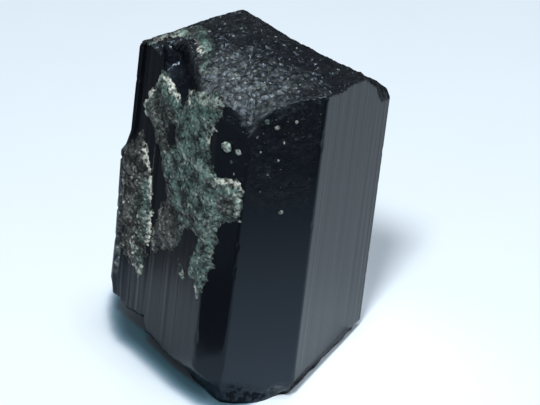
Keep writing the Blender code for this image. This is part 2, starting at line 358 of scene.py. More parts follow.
def hollow(x, y):
    """Depth of the glassy hollow chipped out behind the top of the left side: a parabola along
    that side times one inwards, risen quickly to a nearly flat floor with a crease round it."""
    along = (np.stack([x, y], axis=-1) - PLAN[LEFT]) @ TANGENTS[LEFT]
    inwards = np.clip(REACHES[LEFT] - np.stack([x, y], axis=-1) @ NORMALS[LEFT], 0.0, None)
    slid = along + HOLLOW_SLIDE * inwards
    across = np.clip(1.0 - ((slid - HOLLOW_MIDDLE) / HOLLOW_HALF) ** 2, 0.0, 1.0)
    into = np.clip(1.0 - (inwards / curve(HOLLOW_REACH, slid)) ** 2, 0.0, 1.0)
    wall = np.minimum(across * into / HOLLOW_WALL_END, 1.0)
    return HOLLOW_DEPTH * (HOLLOW_WALL * wall + (1.0 - HOLLOW_WALL) * across * into)


def dome_height(around, share):
    """Height of the top, a share of the way out from the middle to the edge: a dome that runs
    out to the edge's own heights, whose dips and chips fade quickly inwards."""
    dome = side_table(DOME_EDGE, around)
    broken = side_table(TOP_EDGE, around) - dome
    near_chip = rise(CHIP_REACH - from_corner(around, BACK_RIGHT), 0.0, CHIP_BLEND)
    power = EDGE_POWER + CHIP_POWER * near_chip
    return CENTRE_HEIGHT + (dome - CENTRE_HEIGHT) * share ** DOME_POWER + broken * share ** power


def top_relief(x, y):
    """Rough etched relief of the top: rolling ground, crowded pits of two sizes and fine grit."""
    rolling = 0.24 * layered(x * 0.25, y * 0.25, 0.0, 41, 3)
    hollows = 0.34 * pits(x, y, 1.5, 43, 0.8) + 0.24 * pits(x, y, 0.75, 47, 0.8)
    grit = 0.14 * layered(x * 1.5, y * 1.5, 0.0, 51, 3)
    return rolling - hollows + grit


def top_height(around, share, x, y):
    """Height of the finished top at each point."""
    dip = hollow(x, y)
    rough = 1.0 - rise(dip, 0.05, 0.7)
    edge = 1.0 - 0.7 * rise(share, 0.96, 1.0)
    return dome_height(around, share) - dip + top_relief(x, y) * rough * edge


def column_places():
    """Distances around the plan of the columns, closer together towards the corners."""
    places = []
    for start, length, count in zip(STARTS, SIDE_LENGTHS, COLUMNS_PER_SIDE):
        t = np.arange(count) / count
        places.append(start + length * (t - COLUMN_CROWDING * np.sin(2 * np.pi * t) / (2 * np.pi)))
    return np.concatenate(places)


def wall_points(around):
    """Rows of points from the rim up to the top edge, closer together towards the top."""
    flat = plan_point(around)
    top = top_height(around, np.ones(around.shape), flat[:, 0], flat[:, 1])
    rim = side_table(RIM, around) + 0.22 * layered(around * 0.8, 0.0, 0.0, 31, 3)
    t = np.linspace(0.0, 1.0, WALL_ROWS)[:, None]
    height = rim + (top - rim) * ((1.0 + ROW_CROWDING) * t - ROW_CROWDING * t * t)
    spread = np.broadcast_to(around, height.shape)
    flat = plan_point(spread, -wall_depth(spread, height))
    return np.concatenate([flat, height[..., None]], axis=-1)


def band_points(around, first_row):
    """Rows of the broken band from the resting flat up to just under the rim. Each is the plan
    drawn in by a share of the flat's own, or out to a low foot at the front, roughened by noise.
    The flat is level ground once the prism leans, so here it slopes."""
    rim = first_row[:, 2]
    inwards = 1.0 - side_table(BASE_SHARE, around)
    rows = []
    for row in range(BAND_ROWS):
        level = row / BAND_ROWS
        swell = math.sin(math.pi * (0.15 + 0.8 * level))
        jag = 0.025 * layered(around * 0.6, level * 1.5, 1.0, 35, 4) * swell
        drawn = inwards * (1.0 - level) ** 0.75
        drawn = np.maximum(drawn + jag, np.minimum(drawn, 0.002))
        flat = first_row[:, :2] * (1.0 - drawn)[:, None]
        ground = (flat[:, 0] * math.sin(LEAN) - AXIS_START) / math.cos(LEAN)
        rows.append(np.column_stack([flat, ground + (rim - ground) * level]))
    return np.array(rows)


def top_grid(around, edge_row):
    """Points of the top on a square grid stretched over the plan: a grid point's ring is the
    larger of its two coordinates, and its place along the ring is its place around the plan."""
    line = np.linspace(-1.0, 1.0, TOP_CELLS + 1)
    a, b = np.meshgrid(line, line, indexing="ij")
    ring = np.maximum(np.abs(a), np.abs(b))
    safe = np.where(ring == 0.0, 1.0, ring)
    q = np.select(
        [(b == -ring) & (a < ring), (a == ring) & (b < ring), (b == ring) & (a > -ring)],
        [(a / safe + 1) / 2, 1 + (b / safe + 1) / 2, 2 + (1 - a / safe) / 2],
        3 + (1 - b / safe) / 2)
    place = (q * TOP_CELLS) % COLUMNS
    closed = np.concatenate([around, [AROUND]])
    column = np.arange(COLUMNS + 1)
    here = np.interp(place, column, closed)
    edge = np.vstack([edge_row, edge_row[:1]])
    x = ring * np.interp(place, column, edge[:, 0])
    y = ring * np.interp(place, column, edge[:, 1])
    height = top_height(here, ring, x, y)
    on_edge = ring == 1.0
    return np.stack([x, y, height], axis=-1), on_edge, np.rint(place).astype(int) % COLUMNS


def grid_quads(index):
    """Four corners of each cell of a grid of vertex numbers, going round the same way."""
    return np.stack([index[:-1, :-1], index[1:, :-1], index[1:, 1:], index[:-1, 1:]],
                    axis=-1).reshape(-1, 4)


# ================================================================ meshes and materials

def leaned(points):
    """Upright points turned about Y so that the prism leans towards +X, and lifted."""
    x, y, z = np.moveaxis(np.asarray(points, float), -1, 0)
    across = x * math.cos(LEAN) + z * math.sin(LEAN)
    up = z * math.cos(LEAN) - x * math.sin(LEAN) + AXIS_START
    return np.stack([across, y, up], axis=-1)


# The CAD crystal's box says where the leaned prism stands: its largest x is its right corner's
# top, and its largest y is its back corner.
CAD_CRYSTAL = np.array(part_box("tourmaline_crystal")) / MM
RIGHT_CORNER_TOP = leaned((*PLAN[BACK_RIGHT], TOP_EDGE[BACK_RIGHT][0][1]))
SHIFT = np.array([CAD_CRYSTAL[1][0] - RIGHT_CORNER_TOP[0],
                  CAD_CRYSTAL[1][1] - PLAN[BACK_LEFT][1], 0.0])


def put_object(name, data):
    """Put a mesh, a light or a camera in the scene."""
    made = bpy.data.objects.new(name, data)
    bpy.context.scene.collection.objects.link(made)
    return made


def put_mesh(name, points, face_groups):
    """Make a mesh object from points in metres and groups of faces with equal corner counts."""
    loops = np.concatenate([np.asarray(g).ravel() for g in face_groups]).astype(np.int32)
    sizes = np.concatenate([np.full(len(g), np.asarray(g).shape[1]) for g in face_groups])
    mesh = bpy.data.meshes.new(name)
    mesh.vertices.add(points.size // 3)
    mesh.vertices.foreach_set("co", points.astype(np.float32).ravel())
    mesh.loops.add(len(loops))
    mesh.loops.foreach_set("vertex_index", loops)
    mesh.polygons.add(len(sizes))
    starts = np.concatenate([[0], np.cumsum(sizes)[:-1]]).astype(np.int32)
    mesh.polygons.foreach_set("loop_start", starts)
    mesh.update(calc_edges=True)
    mesh.shade_smooth()
    return put_object(name, mesh)


def put_piece(name, points, face_groups, attributes, material):
    """Make a piece of the specimen from upright points, with numbers stored at its points."""
    piece = put_mesh(name, (leaned(points) + SHIFT) * MM, face_groups)
    for label, values in attributes.items():
        layer = piece.data.attributes.new(label, "FLOAT", "POINT")
        layer.data.foreach_set("value", np.clip(values, 0.0, 1.0).astype(np.float32).ravel())
    piece.data.materials.append(material)
    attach(piece, "root")
    return piece


def linear(code):
    """A hex sRGB colour as linear RGBA."""
    parts = [int(code[i:i + 2], 16) / 255 for i in (1, 3, 5)]
    values = [c / 12.92 if c <= 0.04045 else ((c + 0.055) / 1.055) ** 2.4 for c in parts]
    return (*values, 1.0)


def node(tree, kind, *feeds, **settings):
    """Add a shader node. Feeds go to its usable inputs in order, and settings to its own
    properties or to inputs by name. Each is a node, whose first usable output is linked, a
    socket, a number, a hex colour, or None for an input that is left alone."""
    made = tree.nodes.new(kind)
    for key in [k for k in settings if hasattr(made, k)]:
        setattr(made, key, settings.pop(key))
    usable = [socket for socket in made.inputs if socket.enabled]
    named = {socket.name.replace(" ", "_"): socket for socket in reversed(usable)}
    pairs = list(zip(usable, feeds)) + [(named[key], value) for key, value in settings.items()]
    for socket, value in pairs:
        if isinstance(value, bpy.types.Node):
            value = next(output for output in value.outputs if output.enabled)
        if isinstance(value, bpy.types.NodeSocket):
            tree.links.new(value, socket)
        elif value is not None:
            socket.default_value = linear(value) if isinstance(value, str) else value
    return made


def new_material(name):
    """An empty node material and its tree."""
    made = bpy.data.materials.new(name)
    made.use_nodes = True
    made.node_tree.nodes.clear()
    return made, made.node_tree


def facet_tilt(tree, place, facets):
    """Height of facets that each tilt their own way: a facet's own random slope, which is its
    random colour less a half, times the distance from its middle."""
    arm = node(tree, "ShaderNodeVectorMath", place, facets.outputs["Position"],
               operation="SUBTRACT")
    slope = node(tree, "ShaderNodeVectorMath", facets.outputs["Color"], (0.5, 0.5, 0.5),
                 operation="SUBTRACT")
    return node(tree, "ShaderNodeVectorMath", arm, slope, operation="DOT_PRODUCT").outputs["Value"]


# Depth of the finest grit on the etched stone and on the crust, in metres.
STONE_GRIT, CRUST_GRIT = 0.00005, 0.00006


def stone_colour(t, settings, facets, blotches, film_and_light, stained):
    """Black stone with a grey film in blotches, whose mask also holds painted light on the top and
    a painted highlight along the left corner, single pale grains in the film, and brown patina."""
    key = node(t, "ShaderNodeSeparateColor", facets.outputs["Color"])
    # The film's share is partly real film and partly painted light.
    film = node(t, "ShaderNodeMapRange", blotches, 0.4, 0.62, 0.1, 1.0)
    film = node(t, "ShaderNodeMath", film, film_and_light, operation="MULTIPLY")
    each = node(t, "ShaderNodeMapRange", key.outputs["Green"], 0.0, 1.0, 0.35, 1.15)
    film = node(t, "ShaderNodeMath", film, each, operation="MULTIPLY", use_clamp=True)
    grains = node(t, "ShaderNodeMapRange", key.outputs["Red"], 0.93, 0.99)
    grains = node(t, "ShaderNodeMath", grains, film, operation="MULTIPLY")
    stain = node(t, "ShaderNodeMapRange", blotches, 0.42, 0.62)
    stain = node(t, "ShaderNodeMath", stain, stained, operation="MULTIPLY")
    colour = settings.body_colour
    for share, over in ((film, settings.film_colour), (grains, settings.grain_colour),
                        (stain, settings.stain_colour)):
        colour = node(t, "ShaderNodeMix", share, colour, over, data_type="RGBA")
    return colour


def tourmaline_material(settings):
    """Schorl, the black tourmaline, as grown: glassy faces with growth striations, and a top and
    broken base of small facets at all tilts, which glint one by one."""
    made, t = new_material("schorl_as_grown")
    place = node(t, "ShaderNodeTexCoord").outputs["Object"]
    wall = node(t, "ShaderNodeUVMap", uv_map="around_and_up")
    etched, broken, grooved, film_and_light, stained = [
        node(t, "ShaderNodeAttribute", attribute_name=name).outputs["Fac"]
        for name in ("etched", "broken", "grooved", "film_and_light", "stained")]

    # The UV map counts 100 mm as 1: striations 0.26 mm apart, drawn out sixtyfold.
    drawn_out = node(t, "ShaderNodeMapping", Vector=wall, Scale=(380.0, 6.0, 1.0))
    lines = node(t, "ShaderNodeTexNoise", Vector=drawn_out, Scale=1.0, Detail=4.0, Roughness=0.65)
    # Etched facets about 0.45 mm wide, a finer grit of 0.25 mm, and blotches about 1 mm across.
    facets = node(t, "ShaderNodeTexVoronoi", Vector=place, Scale=2200.0)
    grit = node(t, "ShaderNodeTexNoise", Vector=place, Scale=4000.0, Detail=2.0, Roughness=0.6)
    blotches = node(t, "ShaderNodeTexNoise", Vector=place, Scale=900.0, Detail=5.0, Roughness=0.7)
    colour = stone_colour(t, settings, facets, blotches, film_and_light, stained)

    rough = settings.face_roughness
    for part, more in ((etched, 0.34), (broken, 0.3), (grooved, 0.1)):
        rough = node(t, "ShaderNodeMath", part, more, rough, operation="MULTIPLY_ADD")

    # Heights are in metres, so the bump's distance is 1.
    rough_part = node(t, "ShaderNodeMath", etched, broken, operation="MAXIMUM")
    tilt = node(t, "ShaderNodeMath", facet_tilt(t, place, facets), rough_part, operation="MULTIPLY")
    grit_height = node(t, "ShaderNodeMath", grit, STONE_GRIT, operation="MULTIPLY")
    height = node(t, "ShaderNodeMath", grit_height, rough_part, tilt, operation="MULTIPLY_ADD")
    deep = settings.striation_depth * MICROMETRE
    line_height = node(t, "ShaderNodeMath", lines, deep, operation="MULTIPLY")
    height = node(t, "ShaderNodeMath", line_height, grooved, height, operation="MULTIPLY_ADD")
    bump = node(t, "ShaderNodeBump", Strength=1.0, Distance=1.0, Height=height)
    shader = node(t, "ShaderNodeBsdfPrincipled", Base_Color=colour, Roughness=rough, IOR=1.64,
                  Specular_IOR_Level=0.42, Specular_Tint="#c4d9ec", Normal=bump)
    node(t, "ShaderNodeOutputMaterial", shader)
    return made


def crust_material(settings):
    """Chromium-bearing mica in a fine scaly crust: grey-green, with pale pearly scales and dark
    gaps between them. Its pale attribute also holds a painted highlight on the high scales, and its
    deep attribute painted shade in patches and creases."""
    made, t = new_material("green_mica_crust")
    place = node(t, "ShaderNodeTexCoord").outputs["Object"]
    pale, brown, deep = [node(t, "ShaderNodeAttribute", attribute_name=name).outputs["Fac"]
                         for name in ("pale", "brown", "deep")]
    # Patches of colour 2 mm across, and scales about 0.36 mm wide.
    patches = node(t, "ShaderNodeTexNoise", Vector=place, Scale=520.0, Detail=6.0, Roughness=0.75)
    scales = node(t, "ShaderNodeTexVoronoi", Vector=place, Scale=2800.0)
    key = node(t, "ShaderNodeSeparateColor", scales.outputs["Color"])
    grit = node(t, "ShaderNodeTexNoise", Vector=place, Scale=5200.0, Detail=2.0)

    share = node(t, "ShaderNodeMapRange", patches, 0.38, 0.64)
    green, grey = [
        node(t, "ShaderNodeMix", share, dark, light, data_type="RGBA")
        for dark, light in ((settings.deep_green, settings.light_green),
                            (settings.deep_grey, settings.light_grey))]
    colour = node(t, "ShaderNodeMix", brown, green, grey, data_type="RGBA")
    single = node(t, "ShaderNodeMapRange", key.outputs["Red"], 0.8, 1.0, 0.0, 0.36)
    # Pale holds the pale scales and a painted highlight on the high ones.
    bright = node(t, "ShaderNodeMath", pale, single, operation="ADD", use_clamp=True)
    colour = node(t, "ShaderNodeMix", bright, colour, settings.pearl, data_type="RGBA")
    gaps = node(t, "ShaderNodeMapRange", key.outputs["Green"], 0.6, 0.9, 0.0, 0.65)
    # The deep attribute adds painted shade, mixed towards the gap colour.
    gaps = node(t, "ShaderNodeMath", deep, gaps, operation="ADD", use_clamp=True)
    colour = node(t, "ShaderNodeMix", gaps, colour, settings.gap_colour, data_type="RGBA")

    height = node(t, "ShaderNodeMath", grit, CRUST_GRIT, facet_tilt(t, place, scales),
                  operation="MULTIPLY_ADD")
    bump = node(t, "ShaderNodeBump", Strength=1.0, Distance=1.0, Height=height)
    shader = node(t, "ShaderNodeBsdfPrincipled", Base_Color=colour, Roughness=0.5, IOR=1.58,
                  Normal=bump)
    node(t, "ShaderNodeOutputMaterial", shader)
    return made


# ================================================================ the prism

# How rough the broken base is, from 0 to 1, and the length that the UV map counts as 1.
BASE_BROKEN = 0.3
UV_LENGTH = 100.0


def crystal_looks(around, height, x, y):
    """What the prism's material reads, from 0 to 1. Each is for the rows of the band and the
    walls, for the inside of the top, and for the middle of the underside."""
    on_band = np.broadcast_to((np.arange(len(height)) < BAND_ROWS + 1)[:, None], height.shape)
    on_walls = ~on_band
    etched_wall = front_etching(around, height) * on_walls
    below = height[-1] - height
    rim_wear = 0.8 * (1.0 - rise(below, 0.0, 0.5)) * on_walls
    top_wear = 0.3 * etched_wall * (1.0 - rise(below, 0.8, 3.5))
    wall_etched = np.maximum(rim_wear, 0.1 * etched_wall + top_wear)
    striated = np.where(around < STRIP_END, 1.0, STRIATED[side_of(around)]) * on_walls
    wall_film_and_light = np.maximum(0.05 * etched_wall, wall_film_and_highlight(around, height) * on_walls)

    glassy = rise(hollow(x, y), 0.3, 1.2)
    filmed_and_lit = top_film_and_light(x, y)
    near_edge = rise(plan_place(x, y)[1], 0.92, 0.98)
    top_etched = np.maximum(0.5 + 0.38 * filmed_and_lit, 0.9 * near_edge) * (1.0 - 0.4 * glassy)
    none = np.zeros(x.shape)
    looks = {
        "etched": (wall_etched, top_etched, 0.0),
        "broken": (BASE_BROKEN * on_band, none, BASE_BROKEN),
        "grooved": (striated, none, 0.0),
        "film_and_light": (wall_film_and_light, filmed_and_lit * (1.0 - glassy), 0.0),
        "stained": (wall_stain(around, height) * on_walls, none, 0.0),
    }
    return {label: np.concatenate([np.ravel(part).astype(float) for part in parts])
            for label, parts in looks.items()}


def put_uv_map(piece, face_groups, across, up):
    """A UV map that runs across and up. The first group of faces goes round the prism, and its
    last column ends at the full distance around, not at 0."""
    loops = np.concatenate([faces.ravel() for faces in face_groups])
    across, up = across[loops], up[loops]
    wrapped = face_groups[0] % COLUMNS
    last = (wrapped.max(axis=1) == COLUMNS - 1) & (wrapped.min(axis=1) == 0)
    seam = (last[:, None] & (wrapped == 0)).ravel()
    across[:seam.size] = np.where(seam, AROUND, across[:seam.size])
    layer = piece.data.uv_layers.new(name="around_and_up")
    places = np.column_stack([across, up]) / UV_LENGTH
    layer.data.foreach_set("uv", places.astype(np.float32).ravel())


def build_crystal(settings):
    """The whole prism as one closed mesh: bottom fan, broken band, walls and gridded top."""
    around = column_places()
    walls = wall_points(around)
    rows = np.concatenate([band_points(around, walls[0]), walls])
    side_index = np.arange(len(rows) * COLUMNS).reshape(len(rows), COLUMNS)
    ring_index = np.concatenate([side_index, side_index[:, :1]], axis=1)
    side_quads = grid_quads(ring_index.T)

    top, on_edge, column = top_grid(around, walls[-1])
    inner = ~on_edge
    top_index = np.zeros(top.shape[:2], int)
    top_index[on_edge] = side_index[-1][column[on_edge]]
    top_index[inner] = side_index.size + np.arange(inner.sum())

    pole = side_index.size + inner.sum()
    bottom = np.column_stack([np.full(COLUMNS, pole), np.roll(side_index[0], -1), side_index[0]])
    ground = -AXIS_START / math.cos(LEAN)
    points = np.concatenate([rows.reshape(-1, 3), top[inner], [(0.0, 0.0, ground)]])

    spread = np.broadcast_to(around, rows.shape[:2])
    height = rows[..., 2]
    x, y = top[inner][:, 0], top[inner][:, 1]
    faces = [side_quads, grid_quads(top_index), bottom]
    piece = put_piece("crystal", points, faces, crystal_looks(spread, height, x, y),
                      tourmaline_material(settings))
    put_uv_map(piece, faces, np.concatenate([spread.ravel(), x, [0.0]]),
               np.concatenate([height.ravel(), y, [0.0]]))
    return piece


# Outline in the plan of the lighter part of the top, which is partly painted light.
LIGHT_ZONE = [
    (-9.4, -9.0), (-8.8, -5.0), (-6.4, -3.6), (-2.5, -6.4), (1.4, -8.8), (3.4, -10.4),
    (3.4, -12.0), (1.5, -14.5), (-1.8, -17.5), (-5.0, -14.5), (-8.2, -11.0),
]


def top_film_and_light(x, y):
    """How much grey film lies on the top, partly real film and partly painted light: most in the
    light zone, painted lighter, fading out around it, and least towards the right, painted darker."""
    inside = inside_distance(x, y, LIGHT_ZONE) + 1.2 * layered(x * 0.35, y * 0.35, 7.0, 141, 4)
    # Painted light: less film towards the right and back, and more towards the front left.
    least = 0.08 + 0.08 * rise(-x, -5.0, 3.0)
    most = 1.0 - 0.28 * rise(x, -6.0, 0.0)
    return least + (most - least) * rise(inside, -6.5, 2.2)


def wall_film_and_highlight(around, height):
    """The same film where it runs down over the front corner's top in a V, fading downwards, and a
    painted highlight in a ragged streak along the left corner, where its rounded edge catches the
    light."""
    past_front = around - STARTS[FRONT]
    reach = 0.7 + 0.9 * rise(2.6 - np.abs(past_front), 0.0, 2.6)
    below = side_table(TOP_EDGE, around) - height
    below = below + 0.9 * layered(around * 0.8, height * 0.8, 2.0, 145, 3)
    front = 0.8 * between(past_front, -3.6, -1.5, 3.0, 9.0)
    front = front * (1.0 - rise(below, 0.2 * reach, 1.3 * reach))
    # Painted highlight: film along the left corner stands in for the light its rounded edge
    # catches.
    streak = from_corner(around, LEFT) + 0.4 * layered(around * 1.5, height * 0.3, 4.0, 147, 3)
    corner = 3.0 * (1.0 - rise(streak, 0.9, 1.3)) * between(height, 5.0, 10.0, 26.0, 30.0)
    return np.maximum(front, corner)


def wall_stain(around, height):
    """Brown patina: on the upper left wall, and faintly below the main crust."""
    upper = 0.08 * (1.0 - rise(around, 7.0, 10.5)) * rise(height, 30.0, 36.0)
    below = 0.4 * between(around, 10.0, 13.0, 20.0, 22.5) * between(height, 9.0, 15.0, 22.0, 26.0)
    return np.maximum(upper, below)


# ================================================================ crust

def line_distance(u, v, start, end):
    """Distance to a straight piece of line."""
    dx, dy = end[0] - start[0], end[1] - start[1]
    along = np.clip(((u - start[0]) * dx + (v - start[1]) * dy) / (dx * dx + dy * dy), 0.0, 1.0)
    return np.hypot(u - start[0] - dx * along, v - start[1] - dy * along)


def inside_distance(u, v, outline):
    """Distance to an outline's nearest side, positive inside it and negative outside. A point is
    inside where a line from it along u crosses an odd number of sides."""
    best = np.full(np.shape(u), np.inf)
    crossings = np.zeros(np.shape(u), int)
    for (ax, ay), (bx, by) in zip(outline, outline[1:] + outline[:1]):
        best = np.minimum(best, line_distance(u, v, (ax, ay), (bx, by)))
        if ay != by:
            spans = (ay > v) != (by > v)
            crossings = crossings + (spans & (u < ax + (bx - ax) * (v - ay) / (by - ay)))
    return np.where(crossings % 2 == 1, best, -best)


def shell(outer, inner, keep):
    """A closed shell from an outer and an inner grid of points. Only cells marked keep stay,
    and a wall of faces joins the two grids along every open edge."""
    index = np.arange(outer.shape[0] * outer.shape[1]).reshape(outer.shape[:2])
    quads = grid_quads(index)[keep.ravel()]
    size = index.size
    starts = quads.ravel()
    ends = np.roll(quads, -1, axis=1).ravel()
    codes = starts.astype(np.int64) * size + ends
    open_edge = ~np.isin(ends.astype(np.int64) * size + starts, codes)
    a, b = starts[open_edge], ends[open_edge]
    rim = np.column_stack([b, a, a + size, b + size])
    faces = np.concatenate([quads, quads[:, ::-1] + size, rim])
    used, compact = np.unique(faces, return_inverse=True)
    points = np.concatenate([outer.reshape(-1, 3), inner.reshape(-1, 3)])
    return points[used], compact.reshape(faces.shape), used % size


# Outlines of the patches: (distance around, height) on the walls, and (x, y) on the top.
MAIN_OUTLINE = [
    (9.1, 17.4), (10.0, 15.6), (13.1, 17.5), (15.6, 18.2), (16.7, 20.6), (17.4, 23.6),
    (19.2, 24.9), (21.0, 24.4), (20.7, 22.0), (19.9, 20.2), (19.7, 18.2), (20.3, 16.8),
    (21.1, 17.2), (21.7, 15.6), (22.5, 14.2),
    (23.5, 15.8), (24.4, 18.6), (24.9, 21.0), (25.2, 24.4), (25.2, 27.4), (26.3, 29.5),
    (28.3, 30.4), (28.5, 32.8), (28.6, 35.4), (28.1, 37.2), (26.1, 36.5), (24.1, 36.2),
    (22.6, 37.6), (21.9, 41.5), (23.0, 44.2), (24.0, 46.8), (24.2, 48.9), (22.6, 49.4),
    (20.4, 48.4), (18.6, 47.0), (17.2, 46.4), (16.0, 47.0), (15.0, 44.6), (13.8, 42.6),
    (12.6, 43.8), (11.2, 44.6), (9.6, 44.9), (7.9, 45.1), (7.2, 43.0), (6.3, 40.6), (5.6, 41.0),
    (4.6, 38.6), (3.9, 38.6), (3.8, 37.2), (4.6, 36.0), (7.0, 34.6), (8.9, 32.5), (10.2, 30.2),
    (11.8, 28.2), (12.2, 25.9), (10.4, 22.8),
]
LEFT_OUTLINE = [
    (5.0, 9.3), (6.0, 8.2), (7.0, 9.4), (7.4, 12.2), (8.3, 14.8), (8.1, 17.0), (8.3, 19.8),
    (7.5, 22.7), (7.6, 25.4), (6.8, 27.6), (5.9, 28.9), (5.0, 30.6), (3.8, 32.3), (2.8, 31.4),
    (0.9, 29.2), (-0.1, 27.4), (0.1, 24.0), (0.6, 20.0), (1.1, 15.2), (1.7, 11.0), (2.8, 9.3),
]
SMALL_OUTLINE = [(17.2, 16.0), (18.4, 15.4), (19.0, 16.6), (18.2, 17.6), (17.3, 17.2)]
TOP_OUTLINE = [
    (-9.0, 11.4), (-13.0, 9.5), (-16.0, 7.8), (-17.8, 6.5), (-17.2, 3.6), (-14.8, 4.6),
    (-12.6, 5.8), (-11.0, 4.4), (-10.3, 0.8), (-9.8, -3.4), (-9.2, -6.0), (-7.6, -5.2),
    (-7.4, -1.0), (-6.9, 3.6), (-7.6, 7.6),
]

# Holes through the main crust: (distance around, height, half width, half height).
MAIN_HOLES = [(11.8, 36.6, 1.15, 2.1)]


def crust_relief(u, v, seed):
    """Scaly relief from about 0 to 1: rounded lumps with creases between them, where layers of
    noise change sign, and overlapping plates of two sizes, each tilted its own way."""
    warp = 0.5 * noise(u * 0.8, v * 0.8, 9.0, seed + 5)
    lumpy = 0.0
    for i, (size, share) in enumerate(((2.3, 0.4), (1.15, 0.3), (0.6, 0.2), (0.32, 0.1))):
        level = noise(u / size + warp, v / size, 0.0, seed + i)
        lumpy = lumpy + share * np.minimum(1.0, 2.4 * np.abs(level))
    plates = 0.0
    for size, height, steep, shift in ((0.8, 0.6, 0.7, 10), (0.36, 0.4, 0.5, 20)):
        _, du, dv, key, turn = cells(u / size, v / size, seed + shift)
        way = turn * 6.283
        plates = plates + height * (key + steep * (du * np.cos(way) + dv * np.sin(way)))
    return 0.7 * lumpy + 0.26 * plates


# How far a patch's grid reaches past its outline, the level under the stone's surface where the
# crust ends, the least level of its outer side, and how far under the surface it is closed.
CRUST_MARGIN, CRUST_END, CRUST_LEAST, CRUST_UNDER = 0.8, -0.03, -0.04, -0.25


def crust_looks(u, v, relief, in_edge, seed, pale_lines, brown, gaps, speckle):
    """What the crust's material reads, from 0 to 1: pale in specks and along lines, with a painted
    highlight on high scales, brown where a patch has it, and deep, which is painted shade in
    patches and in creases, and at the edge both the black stone showing through the thin crust and
    painted shade over its rim."""
    specks = noise(u * 2.6, v * 2.6, 3.0, seed + 70) + 0.5 * noise(u * 0.5, v * 0.5, 6.0, seed + 71)
    # The highest scales are painted paler: a painted highlight.
    pale = 0.16 * rise(relief, 0.62, 1.0) + speckle * rise(specks, 0.45, 0.95)
    uneven = layered(u * 1.5, v * 1.5, 0.0, seed + 60, 3)
    for start, end, width, strength in pale_lines:
        far = line_distance(u, v, start, end) + 0.6 * width * uneven
        line = strength * (1.0 - rise(far, 0.2 * width, 1.3 * width))
        pale = pale + line * rise(relief, 0.05, 0.55)
    # Painted shade: random patches, deeper where the border thins, and the creases between lumps.
    shade = layered(u * 0.55, v * 0.55, 8.0, seed + 80, 5, 0.7)
    shadowed = 0.85 * rise(shade + 2.0 * gaps, -0.1, 1.1)
    creases = 0.9 * rise(0.42 - relief, 0.0, 0.3)
    # Darker at the edge: the black stone shows through the thin crust, with painted shade dimming
    # its lit rim.
    edge = 0.75 * (1.0 - rise(in_edge, -0.2, 0.9)) * (1.0 - np.clip(pale, 0.0, 1.0))
    deep = np.maximum(np.maximum(shadowed, creases), edge)
    return {"pale": pale, "brown": brown(u, v) if brown else np.zeros(u.shape), "deep": deep}


def build_crust(settings, material, name, outline, place, seed, thickness,
                holes=(), pale_lines=(), brown=None, gaps=0.0, sunk=0.0, speckle=0.35):
    """One crust patch: a grid over its outline whose thickness falls steeply at a ragged edge
    and round its holes, with scaly relief, closed underneath just inside the stone."""
    low = np.min(outline, axis=0) - CRUST_MARGIN
    high = np.max(outline, axis=0) + CRUST_MARGIN
    u, v = np.meshgrid(*(np.arange(a, b, settings.cell) for a, b in zip(low, high)), indexing="ij")
    depth = inside_distance(u, v, outline)
    for hu, hv, ru, rv in holes:
        depth = np.minimum(depth, (np.hypot((u - hu) / ru, (v - hv) / rv) - 1.0) * min(ru, rv))
    in_edge = depth + 0.5 * layered(u * 0.85, v * 0.85, 4.0, seed + 40, 5, 0.68)
    relief = crust_relief(u, v, seed)
    body = rise(in_edge, -0.5, 2.2) * (0.45 + 0.6 * relief)
    off = thickness * (body - 0.08 - gaps * (1.0 - rise(depth, 0.0, 2.0)))
    solid = off > CRUST_END
    keep = solid[:-1, :-1] & solid[1:, :-1] & solid[1:, 1:] & solid[:-1, 1:]
    outer = place(u, v, np.maximum(off, CRUST_LEAST) - sunk)
    inner = place(u, v, np.full(u.shape, CRUST_UNDER - sunk))
    points, faces, source = shell(outer, inner, keep)
    looks = crust_looks(u, v, relief, in_edge, seed, pale_lines, brown, gaps, speckle)
    looks = {label: values.ravel()[source] for label, values in looks.items()}
    return put_piece(name, points, [faces], looks, material)


def on_wall(u, v, outwards):
    """Places off the prism's wall: the plan moved outwards, less the corners' rounding and the
    left corner's inset."""
    flat = plan_point(u, outwards - corner_fillet(u % AROUND) - left_inset(u % AROUND, v))
    return np.concatenate([flat, v[..., None]], axis=-1)


def on_top(x, y, upwards):
    """Places over the top: the dome less the hollow, moved upwards."""
    around, share = plan_place(x, y)
    height = dome_height(around, np.minimum(share, 1.0)) - hollow(x, y)
    return np.stack([x, y, height + upwards], axis=-1)


def main_brown(u, v):
    """Where the main crust is grey-brown: three ovals that fade out at their edges, at its lower
    left, on its right lobe and at its upper left."""
    lower = rise(5.2 - np.hypot((u - 12.6) * 0.9, (v - 21.5) * 0.6), 0.0, 2.8)
    middle = 0.8 * rise(1.9 - np.hypot(u - 26.2, (v - 32.3) * 0.8), 0.0, 0.9)
    upper = 0.85 * rise(4.6 - np.hypot((u - 9.5) * 0.8, (v - 37.5) * 0.7), 0.0, 2.6)
    return np.maximum(np.maximum(lower, middle), upper)


def left_brown(u, v):
    """The left crust is grey-brown on its left half, up to a ragged border."""
    return 1.0 - 0.8 * rise(u + 1.6 * noise(u * 0.4, v * 0.3, 0.0, 88), 4.2, 6.4)


